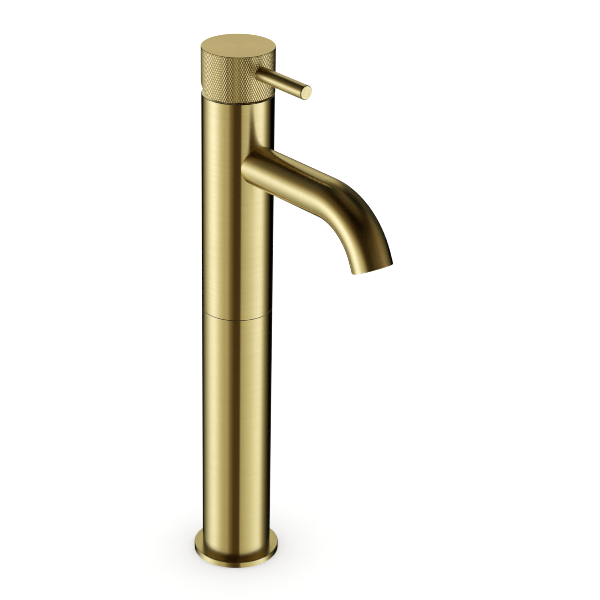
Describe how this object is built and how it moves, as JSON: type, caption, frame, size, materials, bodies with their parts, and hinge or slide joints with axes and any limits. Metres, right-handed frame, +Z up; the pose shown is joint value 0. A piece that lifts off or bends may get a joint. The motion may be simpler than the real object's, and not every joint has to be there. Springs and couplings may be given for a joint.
{
  "type": "bathroom mixer faucet",
  "caption": "Tall single-lever basin mixer: round column on a flange, fixed curved spout, knurled knob with a thin lever that lifts for flow and turns for heat.",
  "frame": {"origin": "centre of the base flange's underside, on the deck", "axes": "+Z up the column, spout and lever point along -Y, hot is on -X and cold on +X"},
  "size_m": [0.056, 0.1655, 0.3531],
  "materials": {
    "brushed_brass": "brushed satin",
    "knurled_brass": "satin, diamond knurled",
    "raw_brass": "machined",
    "fine_steel": "satin",
    "seal_rubber": "matte",
    "cartridge_plastic": "moulded",
    "ceramic": "lapped"
  },
  "bodies": {
    "column": {"base_flange": "brushed_brass", "base_gasket": "seal_rubber", "base_insert": "raw_brass", "lower_column": "brushed_brass", "column_coupler": "raw_brass", "coupler_o_rings": "seal_rubber", "upper_column": "brushed_brass", "valve_manifold": "raw_brass", "spout_tube": "brushed_brass", "spout_nipple": "raw_brass", "spout_o_ring": "seal_rubber", "aerator_housing": "raw_brass", "aerator_washer": "seal_rubber", "flow_regulator": "cartridge_plastic", "aerator_screen": "fine_steel", "cartridge_base": "cartridge_plastic", "cartridge_seals": "seal_rubber", "fixed_disc": "ceramic", "cartridge_housing": "cartridge_plastic", "cartridge_nut": "raw_brass"},
    "turning_collar": {"rotating_collar": "cartridge_plastic", "stem_o_ring": "seal_rubber", "pivot_pin": "fine_steel"},
    "flow_carrier": {"disc_carrier": "cartridge_plastic", "moving_disc": "ceramic"},
    "handle": {"spindle": "raw_brass", "handle_insert": "cartridge_plastic", "knob": "knurled_brass", "lever_rod": "brushed_brass", "handle_screw": "fine_steel"}
  },
  "joints": [
    {"name": "temperature_turn", "type": "hinge", "parent": "column", "child": "turning_collar", "pos_m": [0, 0, 0.317], "axis": [0, 0, 1], "range_deg": [-50, 50]},
    {"name": "flow_lift", "type": "hinge", "parent": "turning_collar", "child": "handle", "pos_m": [0, 0, 0.317], "axis": [-1, 0, 0], "range_deg": [0, 25]},
    {"name": "disc_slide", "type": "slide", "parent": "turning_collar", "child": "flow_carrier", "axis": [0, -1, 0], "range_m": [0, 0.0046]}
  ],
  "couplings": [
    {"joint": "disc_slide", "follows": "flow_lift", "m_per_rad": 0.0105}
  ]
}
